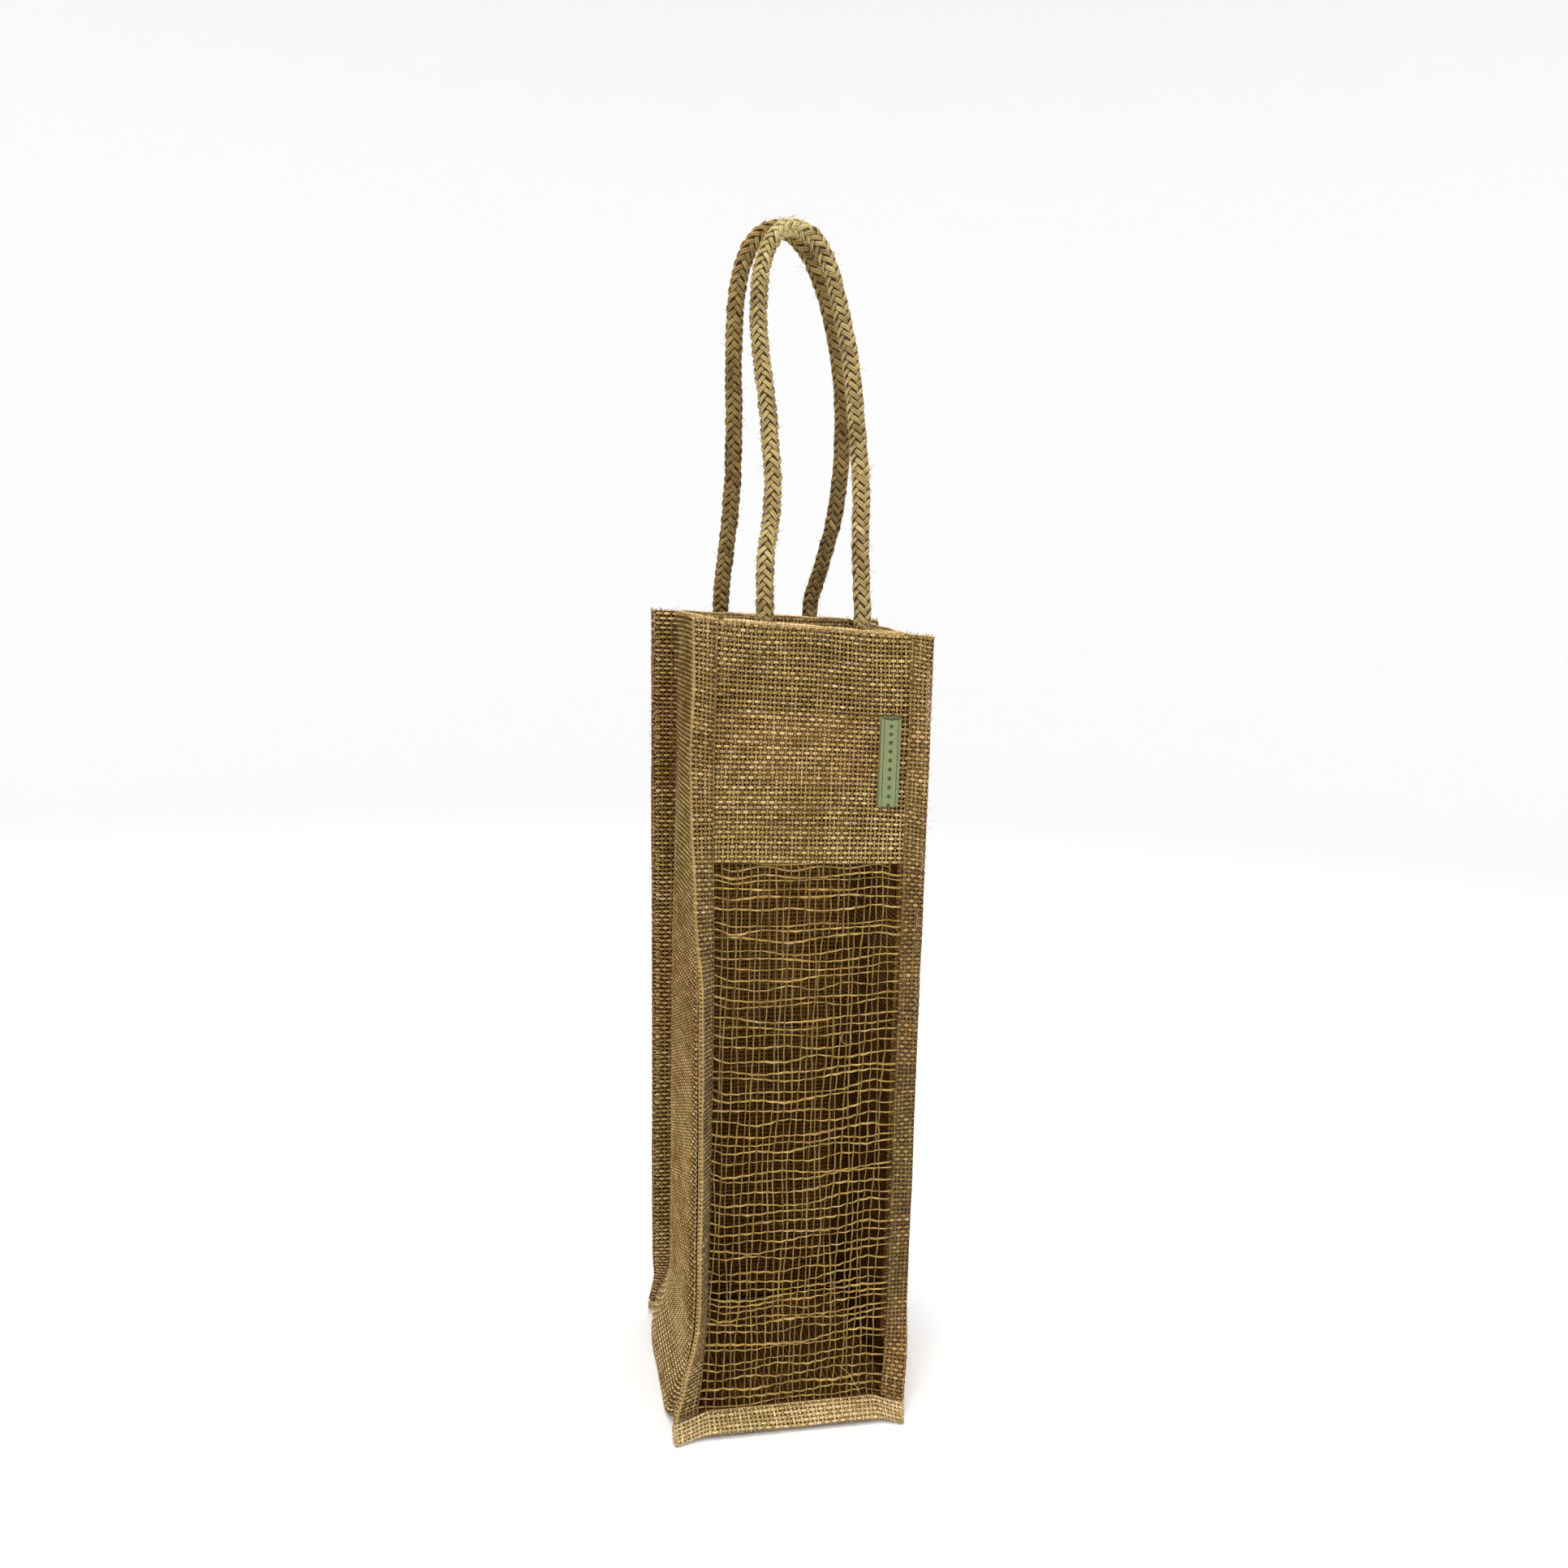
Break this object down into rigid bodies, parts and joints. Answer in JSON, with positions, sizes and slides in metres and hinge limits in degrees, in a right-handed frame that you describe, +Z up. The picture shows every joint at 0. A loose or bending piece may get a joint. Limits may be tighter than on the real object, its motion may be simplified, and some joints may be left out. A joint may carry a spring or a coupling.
{
  "type": "bottle gift bag",
  "caption": "Tall jute bottle gift bag with an open net window in its front, bound seam fins, a one-piece gusset and base, a ribbon tab and two braided rope handles.",
  "frame": {"origin": "on the ground under the middle of the bag's flat base", "axes": "+Z up along the bag's height to the handles, -Y out of the front panel with the net window, +X to the right when facing that front panel"},
  "size_m": [0.1117, 0.1216, 0.5303],
  "materials": {
    "jute_cloth": "plain-woven natural jute cloth, matt",
    "jute_binding": "finer woven jute binding and facing, matt",
    "jute_net": "open jute net of single yarns, matt",
    "jute_rope": "braided jute rope, matt with loose fibres",
    "label_ribbon": "satin ribbon"
  },
  "bodies": {
    "bag": {"front_upper_panel": "jute_cloth", "front_window_net": "jute_net", "back_panel": "jute_cloth", "gusset_strip": "jute_cloth", "front_left_binding": "jute_binding", "front_right_binding": "jute_binding", "front_bottom_binding": "jute_binding", "back_left_binding": "jute_binding", "back_right_binding": "jute_binding", "back_bottom_binding": "jute_binding", "front_hem_facing": "jute_binding", "back_hem_facing": "jute_binding", "left_hem_facing": "jute_binding", "right_hem_facing": "jute_binding", "front_handle_left_tail": "jute_rope", "front_handle_right_tail": "jute_rope", "back_handle_left_tail": "jute_rope", "back_handle_right_tail": "jute_rope"},
    "front_handle": {"front_handle_loop": "jute_rope"},
    "back_handle": {"back_handle_loop": "jute_rope"},
    "label_flap": {"label_tab": "label_ribbon"}
  },
  "joints": [
    {"name": "front_handle_swing", "type": "hinge", "parent": "bag", "child": "front_handle", "pos_m": [0, -0.0471, 0.36], "axis": [1, 0, 0], "range_deg": [0, 183]},
    {"name": "back_handle_swing", "type": "hinge", "parent": "bag", "child": "back_handle", "pos_m": [0, 0.0471, 0.36], "axis": [-1, 0, 0], "range_deg": [0, 183]},
    {"name": "label_flap_turn", "type": "hinge", "parent": "bag", "child": "label_flap", "pos_m": [0.0396, -0.0484, 0.321], "axis": [0, 0, 1], "range_deg": [0, 120]}
  ]
}
